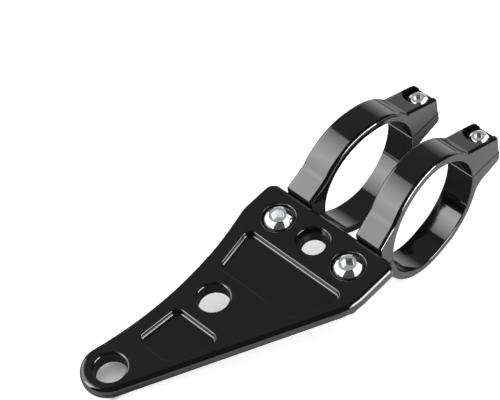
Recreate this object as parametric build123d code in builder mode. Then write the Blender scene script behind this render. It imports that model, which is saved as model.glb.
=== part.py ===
"""Fork-mounted headlight bracket: a pocketed arm plate bolted to two split tube clamps.

Frame, in millimetres: the origin is on the fork tube's axis, midway between the two clamps.
X points along the arm to its tip, Y along the tube, and Z up out of the plate's top face.
"""
import math
import os

from build123d import *

os.makedirs("parts", exist_ok=True)

# Fork tube and clamp rings
bore_radius = 20.5
ring_width = 11.0
ring_inset = 14.0
upper_wall = 3.3
lower_wall = 2.9
bend_x = -4.0
bend_angle = 3.6
bend_blend = 60.0
bore_edge = 0.4
upper_edge = 1.2
lower_edge = 0.7
seam_edge = 0.25

# Arm plate
plate_thickness = 5.0
plate_lift = 3.9
screw_reach = 15.5
rear_overhang = 10.0
half_width = 27.25
rear_corner = 3.5
straight_side = 10.5
near_shoulder = 20.0
waist_start = 4.4
waist_radius = 133.4
waist_shoulder = 15.0
tip_centre = (75.8, -17.5)
tip_radius = 9.1
top_edge = 1.6
bottom_edge = 1.8

# Holes in the plate, placed from the screw row and the middle of the plate
mid_hole = (36.0, -9.9)
tip_hole = (75.4, -16.8)
lamp_hole_radius = 5.3
centre_hole_radius = 4.1
lamp_rim_edge = 0.8
recess_rim_edge = 0.5

# Lightening pockets: depth, rim to the plate's sides, and where each starts and ends along the arm
pocket_depth = 2.0
pocket_rim = 0.4
pocket_floor = 0.7
pocket_corner = 2.6
near_margin = 4.3
far_margin = 6.0
large_pocket = (9.3, 26.2)
small_pocket = (45.8, 62.6)

# Plate screws: button heads with hex sockets
screw_inset = 12.0
screw_radius = 3.0
screw_length = 12.0
head_radius = 5.25
head_height = 3.3
head_rim = 0.8
head_flat = 3.0
dome_fall = 25.0
socket_across = 4.0
socket_depth = 2.0
recess_radius = 5.6
recess_depth = 1.8
screw_hole_radius = 3.3
thread_clearance = 0.05
shank_edge = 0.4

# Clamp foot under the plate, and the upper half's tongue that is trapped below the plate's rear edge
foot_drop = 6.0
foot_reach = 8.0
foot_corner = 3.0
foot_blend = 8.0
tongue_reach = 3.5
tongue_clearance = 0.3
flange_rise = 2.0
flange_ramp = 29.0
flange_ramp_run = 10.5
flange_blend = 8.0
flange_corner = 0.4

# Clamp ears and their pinch screws
ear_reach = 14.0
ear_top = 7.3
ear_ramp = 23.0
ear_tip_drop = 4.2
ear_under_slope = 12.0
ear_blend = 2.0
ear_under_blend = 6.0
ear_corner = 1.7
pinch_reach = 9.8
pinch_radius = 2.0
pinch_length = 10.0
pinch_head_radius = 3.8
pinch_head_height = 2.2
pinch_head_rim = 0.5
pinch_head_flat = 2.2
pinch_socket_across = 2.5
pinch_socket_depth = 1.3
pinch_recess_radius = 5.1
pinch_recess_depth = 1.5
pinch_hole_radius = 2.25

# How close two positions must be to count as the same
same = 0.01

# Values that follow from the sizes above
upper_radius = bore_radius + upper_wall
lower_radius = bore_radius + lower_wall
ring_y = half_width - ring_inset
screw_y = half_width - screw_inset
screw_row = bore_radius + screw_reach
ear_end = bore_radius + ear_reach
pinch_row = bore_radius + pinch_reach
plate_under = plate_lift
plate_top = plate_lift + plate_thickness
rear_x = screw_row - rear_overhang
foot_end = screw_row + foot_reach
ledge_x = rear_x + tongue_reach + tongue_clearance
flange_top = plate_top + flange_rise
flange_slope = math.tan(math.radians(flange_ramp))
flange_overrun = 2 * upper_edge
ring_inner = ring_y - ring_width / 2
ring_outer = ring_y + ring_width / 2
bend_slope = math.tan(math.radians(bend_angle))
flange_shift = bend_slope * (rear_x - bend_x)
foot_shift = bend_slope * (foot_end - bend_x)
ear_crest = ear_top + ear_end * math.tan(math.radians(ear_ramp))
ear_under_drop = ear_tip_drop + ear_end * math.tan(math.radians(ear_under_slope))
recess_floor = plate_top - recess_depth
pinch_floor = ear_top - pinch_recess_depth
mid_xy = (screw_row + mid_hole[0], mid_hole[1])
tip_hole_xy = (screw_row + tip_hole[0], tip_hole[1])
tip_xy = (screw_row + tip_centre[0], tip_centre[1])

# Plate outline: points where its straight sides, waist arc and tip arc meet
near_shoulder_xy = (screw_row + straight_side, half_width)
near_dx = tip_xy[0] - near_shoulder_xy[0]
near_dy = tip_xy[1] - near_shoulder_xy[1]
near_run = math.hypot(near_dx, near_dy)
near_angle = math.atan2(near_dy, near_dx) + math.asin(tip_radius / near_run)
near_normal = (-math.sin(near_angle), math.cos(near_angle))
near_tip_xy = (tip_xy[0] + tip_radius * near_normal[0], tip_xy[1] + tip_radius * near_normal[1])

waist_xy = (screw_row + waist_start, -half_width)
waist_dx = tip_xy[0] - waist_xy[0]
waist_dy = tip_xy[1] - waist_xy[1]
waist_run = math.hypot(waist_dx, waist_dy)
waist_far = waist_radius + tip_radius
waist_along = (waist_run**2 + waist_radius**2 - waist_far**2) / (2 * waist_run)
waist_across = math.sqrt(waist_radius**2 - waist_along**2)
waist_unit = (waist_dx / waist_run, waist_dy / waist_run)
waist_centre = (
    waist_xy[0] + waist_along * waist_unit[0] + waist_across * waist_unit[1],
    waist_xy[1] + waist_along * waist_unit[1] - waist_across * waist_unit[0],
)
waist_share = waist_radius / waist_far
far_tip_xy = (
    waist_centre[0] + (tip_xy[0] - waist_centre[0]) * waist_share,
    waist_centre[1] + (tip_xy[1] - waist_centre[1]) * waist_share,
)
waist_mid_x = (waist_xy[0] + far_tip_xy[0]) / 2
waist_mid_rise = math.sqrt(waist_radius**2 - (waist_mid_x - waist_centre[0]) ** 2)
waist_mid_xy = (waist_mid_x, waist_centre[1] + waist_mid_rise)
tip_mid_angle = near_angle / 2
tip_mid_xy = (
    tip_xy[0] + tip_radius * math.cos(tip_mid_angle),
    tip_xy[1] + tip_radius * math.sin(tip_mid_angle),
)


def near_side(x):
    """Height of a pocket's near edge at x, one margin inside the plate's straight near side."""
    drop = math.tan(near_angle) * (x - near_shoulder_xy[0])
    return half_width + drop - near_margin / math.cos(near_angle)


def far_side(x):
    """Height of a pocket's far edge at x, one margin inside the plate's waist arc."""
    return waist_centre[1] + math.sqrt((waist_radius + far_margin) ** 2 - (x - waist_centre[0]) ** 2)


# Arm plate
with BuildPart() as arm_plate:
    with BuildSketch(Plane.XY.offset(plate_under)) as outline:
        with BuildLine():
            Line((rear_x, half_width), near_shoulder_xy)
            Line(near_shoulder_xy, near_tip_xy)
            ThreePointArc(near_tip_xy, tip_mid_xy, far_tip_xy)
            ThreePointArc(far_tip_xy, waist_mid_xy, waist_xy)
            Line(waist_xy, (rear_x, -half_width))
            Line((rear_x, -half_width), (rear_x, half_width))
        make_face()
        fillet(outline.vertices().sort_by(Axis.X)[:2], rear_corner)
        fillet(outline.vertices().sort_by_distance(near_shoulder_xy)[0], near_shoulder)
        fillet(outline.vertices().sort_by_distance(waist_xy)[0], waist_shoulder)
    extrude(amount=plate_thickness)
    fillet(arm_plate.faces().sort_by(Axis.Z)[-1].outer_wire().edges(), top_edge)
    fillet(arm_plate.faces().sort_by(Axis.Z)[0].outer_wire().edges(), bottom_edge)
    # Lightening pockets
    with BuildSketch(Plane.XY.offset(plate_top)) as pockets:
        for start, end in (large_pocket, small_pocket):
            x0 = screw_row + start
            x1 = screw_row + end
            with BuildLine():
                Polyline(
                    (x0, far_side(x0)),
                    (x1, far_side(x1)),
                    (x1, near_side(x1)),
                    (x0, near_side(x0)),
                    close=True,
                )
            make_face()
        fillet(pockets.vertices(), pocket_corner)
    extrude(amount=-pocket_depth, mode=Mode.SUBTRACT)
    floor_z = plate_top - pocket_depth
    level_faces = arm_plate.faces().filter_by(Axis.Z)
    pocket_floors = level_faces.filter_by_position(Axis.Z, floor_z - same, floor_z + same)
    fillet(pocket_floors.edges(), pocket_floor)
    pocket_rims = arm_plate.faces().sort_by(Axis.Z)[-1].inner_wires().edges()
    fillet(pocket_rims, pocket_rim)
    # Screw recesses, the open centre recess and the two lamp holes
    with Locations((screw_row, -screw_y, plate_top), (screw_row, screw_y, plate_top)):
        CounterBoreHole(screw_hole_radius, recess_radius, recess_depth, plate_thickness)
    with Locations((screw_row, 0, plate_top)):
        CounterBoreHole(centre_hole_radius, recess_radius, recess_depth, plate_thickness)
    with Locations((*mid_xy, plate_top), (*tip_hole_xy, plate_top)):
        Hole(lamp_hole_radius, plate_thickness)
    round_rims = arm_plate.edges().filter_by(GeomType.CIRCLE).filter_by(lambda e: e.is_closed)
    top_rims = round_rims.filter_by_position(Axis.Z, plate_top - same, plate_top + same)
    fillet(top_rims.filter_by(lambda e: abs(e.radius - lamp_hole_radius) < same), lamp_rim_edge)
    fillet(top_rims.filter_by(lambda e: abs(e.radius - recess_radius) < same), recess_rim_edge)
arm_plate.part.label = "arm_plate"
export_step(arm_plate.part, "parts/arm_plate.step")


def on_bore(edge):
    """True for an edge that lies on the fork tube's bore."""
    middle = edge.position_at(0.5)
    return abs(math.hypot(middle.X, middle.Z) - bore_radius) < same


def on_seam(edge):
    """True for an edge that lies in the plane where the clamp halves meet."""
    return abs(edge.position_at(0).Z) + abs(edge.position_at(0.5).Z) + abs(edge.position_at(1).Z) < same


def faces_along_tube(face):
    """True for a face that looks along the fork tube rather than across it."""
    normal = face.normal_at()
    return abs(normal.Y) > math.hypot(normal.X, normal.Z)


def side_rims(clamp):
    """Edges between a clamp half's sides and its outer surface."""
    sides = clamp.faces().filter_by(faces_along_tube)
    edges = sides.edges().filter_by(lambda e: not on_bore(e) and not on_seam(e))
    return edges.filter_by(lambda e: len([f for f in sides if e in f.edges()]) == 1)


def seam_rims(clamp, end):
    """Outer edges of a clamp half's seam faces, up to where they run under the plate."""
    return clamp.edges().filter_by(lambda e: on_seam(e) and not e.is_closed and (e @ 0.5).X < end - same)


# Plan of a clamp, near side: straight along ear and ring, then turned outward to reach the plate screw
with BuildSketch() as clamp_plan:
    with BuildLine():
        Polyline(
            (-ear_end, ring_inner),
            (bend_x, ring_inner),
            (foot_end, ring_inner + foot_shift),
            (foot_end, ring_outer + foot_shift),
            (bend_x, ring_outer),
            (-ear_end, ring_outer),
            close=True,
        )
    make_face()
    fillet(clamp_plan.vertices().sort_by(Axis.X)[-2:], foot_corner)
    fillet(clamp_plan.vertices().sort_by_distance((bend_x, ring_outer))[0], bend_blend)
    fillet(clamp_plan.vertices().sort_by_distance((bend_x, ring_inner))[0], bend_blend)

# Lower clamp half, near side: half ring, foot and ear
with BuildPart() as lower_near:
    with BuildSketch(Plane.XZ) as lower_profile:
        Circle(lower_radius)
        with BuildLine():
            Polyline((0, 0), (-ear_end, 0), (-ear_end, -ear_tip_drop), (0, -ear_under_drop), close=True)
        make_face()
        with BuildLine():
            Polyline((0, 0), (foot_end, 0), (foot_end, -foot_drop), (0, -foot_drop), close=True)
        make_face()
        with Locations((0, foot_end)):
            Rectangle(4 * foot_end, 2 * foot_end, mode=Mode.SUBTRACT)
        ear_root = lower_profile.vertices().sort_by_distance((-lower_radius, -ear_under_drop))[0]
        fillet(ear_root, ear_under_blend)
        fillet(lower_profile.vertices().sort_by_distance((lower_radius, -foot_drop))[0], foot_blend)
        fillet(lower_profile.vertices().sort_by_distance((-ear_end, -ear_tip_drop))[0], ear_corner)
        Circle(bore_radius, mode=Mode.SUBTRACT)
    extrude(amount=-2 * half_width)
    add(clamp_plan.sketch)
    extrude(amount=2 * lower_radius, both=True, mode=Mode.INTERSECT)
    foot_base = lower_near.faces().filter_by(Axis.Z).sort_by(Axis.Z)[0]
    foot_rims = foot_base.edges().filter_by(lambda e: (e @ 0.5).X > screw_row)
    fillet(side_rims(lower_near) + foot_rims, lower_edge)
    # Foot's pad, standing up to the plate behind the tongue's ledge
    with BuildSketch() as foot_pad:
        add(clamp_plan.sketch)
        with Locations((ledge_x, 0)):
            Rectangle(foot_end, 2 * half_width, align=(Align.MIN, Align.CENTER), mode=Mode.INTERSECT)
    extrude(amount=plate_under)
    with Locations((screw_row, screw_y, plate_under)):
        Hole(screw_radius + thread_clearance)
    with Locations((-pinch_row, ring_y, 0)):
        Hole(pinch_radius + thread_clearance)
    fillet(lower_near.edges().filter_by(lambda e: on_bore(e) and not on_seam(e)), bore_edge)
    chamfer(seam_rims(lower_near, ledge_x), seam_edge)
lower_near.part.label = "lower_clamp_near"
export_step(lower_near.part, "parts/lower_clamp_near.step")

# Upper clamp half, near side: half ring, flange behind the plate with its tongue, and recessed ear
with BuildPart() as upper_near:
    with BuildSketch(Plane.XZ) as upper_profile:
        Circle(upper_radius)
        with BuildLine():
            Polyline(
                (0, 0),
                (rear_x + flange_overrun, 0),
                (rear_x + flange_overrun, flange_top - flange_overrun * flange_slope),
                (rear_x - flange_ramp_run, flange_top + flange_ramp_run * flange_slope),
                close=True,
            )
        make_face()
        with BuildLine():
            Polyline((0, 0), (-ear_end, 0), (-ear_end, ear_top), (0, ear_crest), close=True)
        make_face()
        with Locations((0, -foot_end)):
            Rectangle(4 * foot_end, 2 * foot_end, mode=Mode.SUBTRACT)
        ramp_foot = upper_profile.vertices().filter_by(lambda v: v.X > 0).sort_by(Axis.Y)[-1]
        fillet(ramp_foot, flange_blend)
        ear_crease = upper_profile.vertices().filter_by(lambda v: v.X < 0).sort_by(Axis.Y)[-1]
        fillet(ear_crease, ear_blend)
        fillet(upper_profile.vertices().sort_by_distance((-ear_end, ear_top))[0], ear_corner)
        Circle(bore_radius, mode=Mode.SUBTRACT)
    extrude(amount=-2 * half_width)
    add(clamp_plan.sketch)
    extrude(amount=2 * upper_radius, both=True, mode=Mode.INTERSECT)
    upper_end = upper_near.faces().sort_by(Axis.X)[-1]
    fillet(side_rims(upper_near).filter_by(lambda e: e not in upper_end.edges()), upper_edge)
    # Flange's flat end against the plate
    with BuildSketch(Plane.YZ.offset(rear_x)):
        Rectangle(2 * half_width, 4 * upper_radius)
    extrude(amount=2 * flange_overrun, mode=Mode.SUBTRACT)
    flange_rims = upper_near.faces().sort_by(Axis.X)[-1].edges().filter_by(lambda e: not on_seam(e))
    fillet(flange_rims, flange_corner)
    # Pinch screw's recess, open at the ear's end, and its clearance hole
    with BuildSketch(Plane.XY.offset(pinch_floor)):
        with Locations((-pinch_row, ring_y)):
            Circle(pinch_recess_radius)
    extrude(amount=upper_radius, mode=Mode.SUBTRACT)
    with Locations((-pinch_row, ring_y, pinch_floor)):
        Hole(pinch_hole_radius)
    fillet(upper_near.edges().filter_by(lambda e: on_bore(e) and not on_seam(e)), bore_edge)
    chamfer(seam_rims(upper_near, rear_x), seam_edge)
    # Tongue that lies on the lower half's ledge, under the plate's rear edge
    with BuildSketch():
        with Locations((upper_radius, ring_y + flange_shift)):
            Rectangle(
                rear_x + tongue_reach - upper_radius,
                ring_width - 2 * upper_edge,
                align=(Align.MIN, Align.CENTER),
            )
    extrude(amount=plate_under)
upper_near.part.label = "upper_clamp_near"
export_step(upper_near.part, "parts/upper_clamp_near.step")


def button_screw(seat, shank, head, socket):
    """A domed button screw with a hex socket, its head's underside at the seat."""
    shank_radius, shank_length = shank
    radius, height, rim, flat = head
    across, depth = socket
    dome_start = (math.cos(math.radians(dome_fall)), -math.sin(math.radians(dome_fall)))
    with BuildPart() as screw:
        with BuildSketch(Plane.XZ):
            with BuildLine():
                Line((flat, height), (0, height))
                Line((0, height), (0, -shank_length))
                Line((0, -shank_length), (shank_radius, -shank_length))
                Line((shank_radius, -shank_length), (shank_radius, 0))
                Line((shank_radius, 0), (radius, 0))
                Line((radius, 0), (radius, rim))
                TangentArc((flat, height), (radius, rim), tangent=dome_start)
            make_face()
        revolve()
        with BuildSketch(Plane.XY.offset(height)):
            RegularPolygon(across / 2, 6, major_radius=False)
        extrude(amount=-depth, mode=Mode.SUBTRACT)
        chamfer(screw.faces().sort_by(Axis.Z)[0].edges(), shank_edge)
    return screw.part.moved(seat)


# Plate screw, near side
plate_screw_near = button_screw(
    Location((screw_row, screw_y, recess_floor)),
    (screw_radius, screw_length),
    (head_radius, head_height, head_rim, head_flat),
    (socket_across, socket_depth),
)
plate_screw_near.label = "plate_screw_near"
export_step(plate_screw_near, "parts/plate_screw_near.step")

# Pinch screw, near side
pinch_screw_near = button_screw(
    Location((-pinch_row, ring_y, pinch_floor)),
    (pinch_radius, pinch_length),
    (pinch_head_radius, pinch_head_height, pinch_head_rim, pinch_head_flat),
    (pinch_socket_across, pinch_socket_depth),
)
pinch_screw_near.label = "pinch_screw_near"
export_step(pinch_screw_near, "parts/pinch_screw_near.step")

# Far side: mirror images of the near clamp and its screws
with BuildPart() as lower_far:
    mirror(lower_near.part, about=Plane.XZ)
lower_far.part.label = "lower_clamp_far"
export_step(lower_far.part, "parts/lower_clamp_far.step")

with BuildPart() as upper_far:
    mirror(upper_near.part, about=Plane.XZ)
upper_far.part.label = "upper_clamp_far"
export_step(upper_far.part, "parts/upper_clamp_far.step")

with BuildPart() as plate_screw_far:
    mirror(plate_screw_near, about=Plane.XZ)
plate_screw_far.part.label = "plate_screw_far"
export_step(plate_screw_far.part, "parts/plate_screw_far.step")

with BuildPart() as pinch_screw_far:
    mirror(pinch_screw_near, about=Plane.XZ)
pinch_screw_far.part.label = "pinch_screw_far"
export_step(pinch_screw_far.part, "parts/pinch_screw_far.step")
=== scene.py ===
"""Looks for the fork-mounted headlight bracket.

Gloss black coating and chrome screws on the CAD pieces, a white table, studio light and a camera.
Lengths are in metres and angles in degrees.
"""

import math

import bpy
from mathutils import Matrix, Vector


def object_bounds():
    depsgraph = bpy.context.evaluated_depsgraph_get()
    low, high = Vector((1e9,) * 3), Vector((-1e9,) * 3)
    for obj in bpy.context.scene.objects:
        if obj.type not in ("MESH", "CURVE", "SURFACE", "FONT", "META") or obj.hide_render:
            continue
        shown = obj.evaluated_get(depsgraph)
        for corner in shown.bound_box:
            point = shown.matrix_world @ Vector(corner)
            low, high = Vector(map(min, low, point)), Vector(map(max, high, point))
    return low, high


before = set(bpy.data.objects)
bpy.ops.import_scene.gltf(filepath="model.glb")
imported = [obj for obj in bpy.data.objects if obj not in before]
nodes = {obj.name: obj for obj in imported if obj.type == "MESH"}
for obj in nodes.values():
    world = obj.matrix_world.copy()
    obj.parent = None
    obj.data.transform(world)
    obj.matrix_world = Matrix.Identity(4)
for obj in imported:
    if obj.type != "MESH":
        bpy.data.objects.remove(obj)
cad_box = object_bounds()

PLATE_NODES = ("arm_plate",)
CLAMP_NODES = ("lower_clamp_near", "lower_clamp_far", "upper_clamp_near", "upper_clamp_far")
SCREW_NODES = ("plate_screw_near", "plate_screw_far", "pinch_screw_near", "pinch_screw_far")

# The bracket lies on its ring bottoms and its tip, so the table leans against the model's frame.
RING_DROP = -cad_box[0][2]
TABLE_TILT = math.radians(13.17)
TABLE_UP = Vector((-math.sin(TABLE_TILT), 0.0, math.cos(TABLE_TILT)))
TABLE_X = Vector((math.cos(TABLE_TILT), 0.0, math.sin(TABLE_TILT)))
TABLE_Y = Vector((0.0, 1.0, 0.0))
CAMERA_AZIMUTH = 41.7


def direction(azimuth, elevation):
    """A unit vector in the table's own frame."""
    a = math.radians(azimuth)
    e = math.radians(elevation)
    level = TABLE_X * math.cos(a) + TABLE_Y * math.sin(a)
    return level * math.cos(e) + TABLE_UP * math.sin(e)


def placed(side, up, back, place):
    """A matrix from three axes and a place."""
    axes = Matrix((side, up, back)).transposed()
    return Matrix.Translation(place) @ axes.to_4x4()


class Nodes:
    """Short calls for building the node tree of a material, a world or a lamp."""

    def __init__(self, owner):
        owner.use_nodes = True
        self.tree = owner.node_tree
        self.tree.nodes.clear()

    def add(self, kind, **values):
        node = self.tree.nodes.new(kind)
        for key, value in values.items():
            setattr(node, key, value)
        return node

    def link(self, source, target):
        self.tree.links.new(source, target)

    def math(self, operation, first, second):
        """A Math node's result; the second input is a socket or a number."""
        node = self.add("ShaderNodeMath", operation=operation)
        self.link(first, node.inputs[0])
        if isinstance(second, float):
            node.inputs[1].default_value = second
        else:
            self.link(second, node.inputs[1])
        return node.outputs["Value"]

    def times(self, first, second):
        return self.math("MULTIPLY", first, second)

    def most(self, first, *others):
        for other in others:
            first = self.math("MAXIMUM", first, other)
        return first

    def rise(self, vector, axis, low, high):
        """0 up to low and 1 from high, measured along an axis."""
        along = self.add("ShaderNodeVectorMath", operation="DOT_PRODUCT")
        along.inputs[1].default_value = axis
        self.link(vector, along.inputs[0])
        ramp = self.add("ShaderNodeMapRange", interpolation_type="SMOOTHSTEP")
        ramp.inputs["From Min"].default_value = low
        ramp.inputs["From Max"].default_value = high
        self.link(along.outputs["Value"], ramp.inputs["Value"])
        return ramp.outputs["Result"]

    def ramp(self, factor, dark, light):
        """A colour between two."""
        tone = self.add("ShaderNodeValToRGB")
        tone.color_ramp.elements[0].color = (*dark, 1)
        tone.color_ramp.elements[1].color = (*light, 1)
        self.link(factor, tone.inputs["Fac"])
        return tone.outputs["Color"]

    def noise(self, scale, detail):
        """Noise in the object's own coordinates."""
        coords = self.add("ShaderNodeTexCoord")
        texture = self.add("ShaderNodeTexNoise")
        texture.inputs["Scale"].default_value = scale
        texture.inputs["Detail"].default_value = detail
        self.link(coords.outputs["Object"], texture.inputs["Vector"])
        return texture.outputs["Fac"]


def grey(level):
    return (level, level, level)


def uneven_finish(name, shader_values, polish, roughness, tones, ripple, bump_strength, bump_depth):
    """A material whose polish and colour vary in patches, with a fine ripple on top.

    polish and ripple are a noise's scale and detail; roughness and tones are the two ends that
    the polish varies between.
    """
    mat = bpy.data.materials.new(name)
    n = Nodes(mat)
    out = n.add("ShaderNodeOutputMaterial")
    shader = n.add("ShaderNodeBsdfPrincipled")
    for socket, value in shader_values.items():
        shader.inputs[socket].default_value = value
    patches = n.noise(*polish)
    rough = n.add("ShaderNodeMapRange")
    rough.inputs["To Min"].default_value, rough.inputs["To Max"].default_value = roughness
    n.link(patches, rough.inputs["Value"])
    n.link(rough.outputs["Result"], shader.inputs["Roughness"])
    n.link(n.ramp(patches, *tones), shader.inputs["Base Color"])
    bump = n.add("ShaderNodeBump")
    bump.inputs["Strength"].default_value = bump_strength
    bump.inputs["Distance"].default_value = bump_depth
    n.link(n.noise(*ripple), bump.inputs["Height"])
    n.link(bump.outputs["Normal"], shader.inputs["Normal"])
    n.link(shader.outputs["BSDF"], out.inputs["Surface"])
    return mat


# Gloss black coating over cast aluminium, with the ripple of a sprayed coat
black = uneven_finish(
    "gloss_black",
    {"IOR": 2.2, "Metallic": 0.0},
    polish=(90.0, 4.0),
    roughness=(0.03, 0.09),
    tones=((0.003, 0.003, 0.0032), (0.007, 0.007, 0.0073)),
    ripple=(700.0, 2.0),
    bump_strength=0.02,
    bump_depth=0.0002,
)
# Bright chrome plate on the screws, with a slight haze
HAZE = (500.0, 5.0)
chrome = uneven_finish(
    "bright_chrome",
    {"Metallic": 1.0},
    polish=HAZE,
    roughness=(0.04, 0.14),
    tones=((0.72, 0.73, 0.74), (0.86, 0.86, 0.87)),
    ripple=HAZE,
    bump_strength=0.03,
    bump_depth=0.0001,
)
for material, names in ((black, PLATE_NODES + CLAMP_NODES), (chrome, SCREW_NODES)):
    for name in names:
        nodes[name].data.materials.clear()
        nodes[name].data.materials.append(material)


# Regions of the table: an axis from the tube's middle, where they begin and where they are full.
# The twin is the photograph's other bracket, which isn't built but keeps light off the table there;
# that shade is painted into the table's colour as the gloss sees it.
RIGHT_OF_RINGS = (TABLE_Y, 0.004, 0.02)
BEYOND_TWIN = (-TABLE_Y, 0.075, 0.1)
BESIDE_PLATE = (TABLE_X, 0.02, 0.06)
OFF_SLANTED_SIDE = (direction(67, 0), 0.034, 0.046)
BEFORE_TIP = (TABLE_X, 0.112, 0.124)
# Regions around the shadow under the plate: a patch shaped like the plate's footprint where the
# white glow is held back, so the shade there is real but its outline and fade are painted
LEFT_OF_SHADOW = (-TABLE_Y, 0.021, 0.027)
RIGHT_OF_SHADOW = (TABLE_Y, -0.012, -0.009)
BEHIND_SHADOW = (-TABLE_X, -0.014, -0.008)
FADING_SHADOW = (-TABLE_X, -0.1, -0.03)
PAST_SHADOW = (TABLE_X, 0.113, 0.117)
# How much painted light each region gets in the gloss; outside them the table's colour is painted
# dark as shade
RING_SIDE_PAINTED_LIGHT = 0.87
PLATE_SIDE_PAINTED_SHADE = 0.31
SLANTED_SIDE_PAINTED_LIGHT = 0.56
TIP_PAINTED_LIGHT = 0.7
FADED_SHADOW_SHARE = 0.6
TABLE_PAINTED_SHADE = 0.03
TABLE_PALE = 0.8
# Added brightness for the camera and in the gloss
CAMERA_GLOW = 0.68
MIRRORED_GLOW = 0.05


def table_white_with_painted_shade():
    """White to the camera; in the gloss, painted shade, dark where the bracket and its twin keep
    light off, and painted light elsewhere.
    """
    mat = bpy.data.materials.new("table_white_with_painted_shade")
    n = Nodes(mat)
    out = n.add("ShaderNodeOutputMaterial")
    ray = n.add("ShaderNodeLightPath").outputs
    place = n.add("ShaderNodeNewGeometry").outputs["Position"]
    # Painted light and shade, seen only in the gloss: paler to the right of the rings and beyond
    # the twin, less so beside the plate and its tip, painted dark shade elsewhere
    painted_light_open_table = n.most(n.rise(place, *RIGHT_OF_RINGS), n.rise(place, *BEYOND_TWIN))
    painted_shade_beside_plate = n.times(n.rise(place, *BESIDE_PLATE), PLATE_SIDE_PAINTED_SHADE)
    painted_light = n.most(
        n.math("SUBTRACT", n.times(painted_light_open_table, RING_SIDE_PAINTED_LIGHT), painted_shade_beside_plate),
        n.times(n.rise(place, *OFF_SLANTED_SIDE), SLANTED_SIDE_PAINTED_LIGHT),
        n.times(n.rise(place, *BEFORE_TIP), TIP_PAINTED_LIGHT),
        ray["Is Camera Ray"],
    )
    # The table's colour in the gloss runs from the painted shade up to its own pale white
    matte = n.add("ShaderNodeBsdfDiffuse")
    n.link(n.ramp(painted_light, grey(TABLE_PAINTED_SHADE), grey(TABLE_PALE)), matte.inputs["Color"])
    # Lifted to white for the camera, except in a painted patch under the plate, where the shadow
    # stays as it falls; the patch's outline and its partly lifted back part are painted shade
    glow_outside_painted_shade = n.most(
        n.rise(place, *LEFT_OF_SHADOW),
        n.rise(place, *RIGHT_OF_SHADOW),
        n.rise(place, *BEHIND_SHADOW),
        n.times(n.rise(place, *FADING_SHADOW), FADED_SHADOW_SHARE),
        n.rise(place, *PAST_SHADOW),
    )
    seen = n.times(n.times(ray["Is Camera Ray"], glow_outside_painted_shade), CAMERA_GLOW)
    mirrored = n.most(ray["Is Glossy Ray"], ray["Is Transmission Ray"])
    glow = n.add("ShaderNodeEmission")
    glow.inputs["Color"].default_value = (1, 1, 1, 1)
    n.link(n.math("ADD", seen, n.times(mirrored, MIRRORED_GLOW)), glow.inputs["Strength"])
    both = n.add("ShaderNodeAddShader")
    n.link(glow.outputs["Emission"], both.inputs[0])
    n.link(matte.outputs["BSDF"], both.inputs[1])
    n.link(both.outputs["Shader"], out.inputs["Surface"])
    return mat


# The table's front edge is just outside the picture; it runs far to the back and to both sides.
TABLE_FRONT = 0.1
TABLE_LENGTH = 3.0
front = direction(CAMERA_AZIMUTH, 0)
table_middle = TABLE_UP * -RING_DROP + front * (TABLE_FRONT - TABLE_LENGTH / 2)
bpy.ops.mesh.primitive_plane_add(size=TABLE_LENGTH)
table = bpy.context.object
table.name = "table"
table.matrix_world = placed(front, TABLE_UP.cross(front), TABLE_UP, table_middle)
table.data.materials.append(table_white_with_painted_shade())

# Each wall's middle, and the cosines of the angles from it where the wall begins and is full
PALE_WALL_TOP = 46
PALE_WALL_AZIMUTH = -160
PALE_WALL_EDGE = (0.75, 0.85)
DIM_WALL_AZIMUTH = -114
DIM_WALL_EDGE = (0.15, 0.4)
DIM_WALL_TONE = 0.072
ROOM_DARK = 0.02


def studio_room():
    """White to the camera; in the gloss, pale low down behind, dim at the left, dark elsewhere."""
    room = bpy.data.worlds.new("room")
    n = Nodes(room)
    out = n.add("ShaderNodeOutputWorld")
    walls = n.add("ShaderNodeBackground")
    way = n.add("ShaderNodeTexCoord").outputs["Generated"]
    low = n.rise(way, -TABLE_UP, -math.sin(math.radians(PALE_WALL_TOP)), 0.0)
    behind = n.rise(way, direction(PALE_WALL_AZIMUTH, 0), *PALE_WALL_EDGE)
    left = n.rise(way, direction(DIM_WALL_AZIMUTH, 0), *DIM_WALL_EDGE)
    camera_ray = n.add("ShaderNodeLightPath").outputs["Is Camera Ray"]
    level = n.most(n.times(low, behind), n.times(left, DIM_WALL_TONE), camera_ray)
    n.link(n.ramp(level, grey(ROOM_DARK), grey(1.0)), walls.inputs["Color"])
    n.link(walls.outputs["Background"], out.inputs["Surface"])
    return room


bpy.context.scene.world = studio_room()

SOFTBOX_DISTANCE = 0.6
CHROME_SOFTBOX_DISTANCE = 0.62
BRIGHTEST_HEIGHT = 0.33


def area_lamp(name, width, height, radiance):
    """A rectangular lamp with the given brightness when looked at."""
    data = bpy.data.lights.new(name, "AREA")
    data.shape = "RECTANGLE"
    data.size = width
    data.size_y = height
    data.energy = radiance * math.pi * width * height
    lamp = bpy.data.objects.new(name, data)
    bpy.context.scene.collection.objects.link(lamp)
    return lamp


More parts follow.
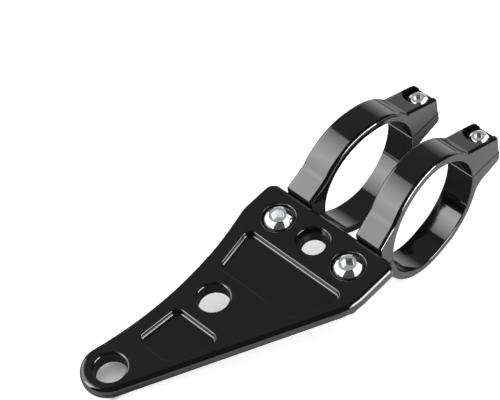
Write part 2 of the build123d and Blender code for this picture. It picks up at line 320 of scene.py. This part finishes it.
def softbox(
    name,
    azimuth,
    half_span,
    top,
    radiance,
    foot_share=1.0,
    top_share=1.0,
    distance=SOFTBOX_DISTANCE,
):
    """An upright lamp that stands on the table; the shares dim its foot and its top.

    half_span and top are the angles that its half width and its height take up, seen from the tube.
    """
    width = 2 * distance * math.tan(math.radians(half_span))
    height = distance * math.tan(math.radians(top))
    lamp = area_lamp(name, width, height, radiance)
    # Brightest a third of the way up, where the lamp behind the cloth is
    n = Nodes(lamp.data)
    out = n.add("ShaderNodeOutputLight")
    cloth = n.add("ShaderNodeNewGeometry")
    split = n.add("ShaderNodeSeparateXYZ")
    fall = n.add("ShaderNodeValToRGB")
    stops = fall.color_ramp.elements
    stops.new(BRIGHTEST_HEIGHT)
    for stop, share in zip(stops, (foot_share, 1.0, top_share)):
        stop.color = (*grey(share), 1)
    glow = n.add("ShaderNodeEmission")
    n.link(cloth.outputs["Parametric"], split.inputs["Vector"])
    n.link(split.outputs["Y"], fall.inputs["Fac"])
    n.link(fall.outputs["Color"], glow.inputs["Color"])
    n.link(glow.outputs["Emission"], out.inputs["Surface"])
    aim = direction(azimuth, 0)
    middle = aim * distance + TABLE_UP * (height / 2 - RING_DROP)
    lamp.matrix_world = placed(TABLE_UP.cross(aim), TABLE_UP, aim, middle)
    return lamp


def overhead_lamp(name, azimuth, elevation, distance, size, radiance):
    """A square lamp that looks at the bracket from above."""
    lamp = area_lamp(name, size, size, radiance)
    aim = direction(azimuth, elevation)
    side = TABLE_UP.cross(aim).normalized()
    lamp.matrix_world = placed(side, aim.cross(side), aim, aim * distance)
    return lamp


def light_linked(group_name, members, state, lamps):
    """Has the lamps light only the members (INCLUDE), or all but them (EXCLUDE)."""
    group = bpy.data.collections.new(group_name)
    for member in members:
        group.objects.link(nodes[member])
    for entry in group.collection_objects:
        entry.light_linking.link_state = state
    for lamp in lamps:
        lamp.light_linking.receiver_collection = group


# What the clamps' lamps share with the plate's copies of them
LEFT_SOFTBOX = {"azimuth": -52, "half_span": 33, "top": 61, "foot_share": 0.6, "top_share": 0.3}
RIGHT_STRIP = {"azimuth": 104, "half_span": 22}
light_linked(
    "clamps_and_table",
    PLATE_NODES + SCREW_NODES,
    "EXCLUDE",
    (
        softbox("left_softbox", radiance=2.5, **LEFT_SOFTBOX),
        softbox("right_strip", top=24, radiance=12.0, **RIGHT_STRIP),
    ),
)
# The plate's narrow roundings see softer copies of both, and a brighter middle in the left one
light_linked(
    "plate_alone",
    PLATE_NODES,
    "INCLUDE",
    (
        softbox("plate_left", radiance=1.6, **LEFT_SOFTBOX),
        softbox(
            "plate_left_middle",
            azimuth=-31,
            half_span=9,
            top=48,
            radiance=2.6,
            foot_share=0.2,
            top_share=0.8,
        ),
        softbox("plate_right", top=40, radiance=6.0, **RIGHT_STRIP),
    ),
)
# Wide fill lamp over bracket and table, which stays out of the reflections
table_fill = overhead_lamp(
    "table_fill", CAMERA_AZIMUTH, elevation=80, distance=0.7, size=1.2, radiance=1.0
)
table_fill.visible_glossy = False

# Lamps for the chrome alone: bright on both sides, dim overhead and towards the camera
chrome_lamps = [
    softbox(name, azimuth, half_span, top, radiance, distance=CHROME_SOFTBOX_DISTANCE)
    for name, azimuth, half_span, top, radiance in (
        ("chrome_left", -46, 52, 75, 1.5),
        ("chrome_right", 128, 50, 75, 1.5),
        ("chrome_front", CAMERA_AZIMUTH, 45, 60, 0.07),
    )
]
chrome_lamps.append(
    overhead_lamp("chrome_top", azimuth=-114, elevation=60, distance=0.5, size=0.3, radiance=0.3)
)
for lamp in chrome_lamps:
    lamp.visible_camera = False
light_linked("screws_alone", SCREW_NODES, "INCLUDE", chrome_lamps)

# Camera at the photograph's angle
PICTURE_WIDTH_PX = 500.0
FOCAL_LENGTH_PX = 2206.1
SENSOR_WIDTH_MM = 36.0
CLIP_START = 0.01
CAMERA_RIGHT = Vector((-0.684867, 0.718896, -0.118934))
CAMERA_UP = Vector((-0.626824, -0.498018, 0.599225))
CAMERA_BACK = Vector((0.371549, 0.484940, 0.791697))
CAMERA_PLACE = Vector((0.304287, 0.322016, 0.579331))
camera_data = bpy.data.cameras.new("camera")
camera_data.sensor_fit = "HORIZONTAL"
camera_data.sensor_width = SENSOR_WIDTH_MM
camera_data.lens = FOCAL_LENGTH_PX / PICTURE_WIDTH_PX * SENSOR_WIDTH_MM
camera_data.clip_start = CLIP_START
camera = bpy.data.objects.new("camera", camera_data)
bpy.context.scene.collection.objects.link(camera)
camera.matrix_world = placed(CAMERA_RIGHT, CAMERA_UP, CAMERA_BACK, CAMERA_PLACE)
bpy.context.scene.camera = camera
bpy.context.scene.view_settings.view_transform = "Standard"
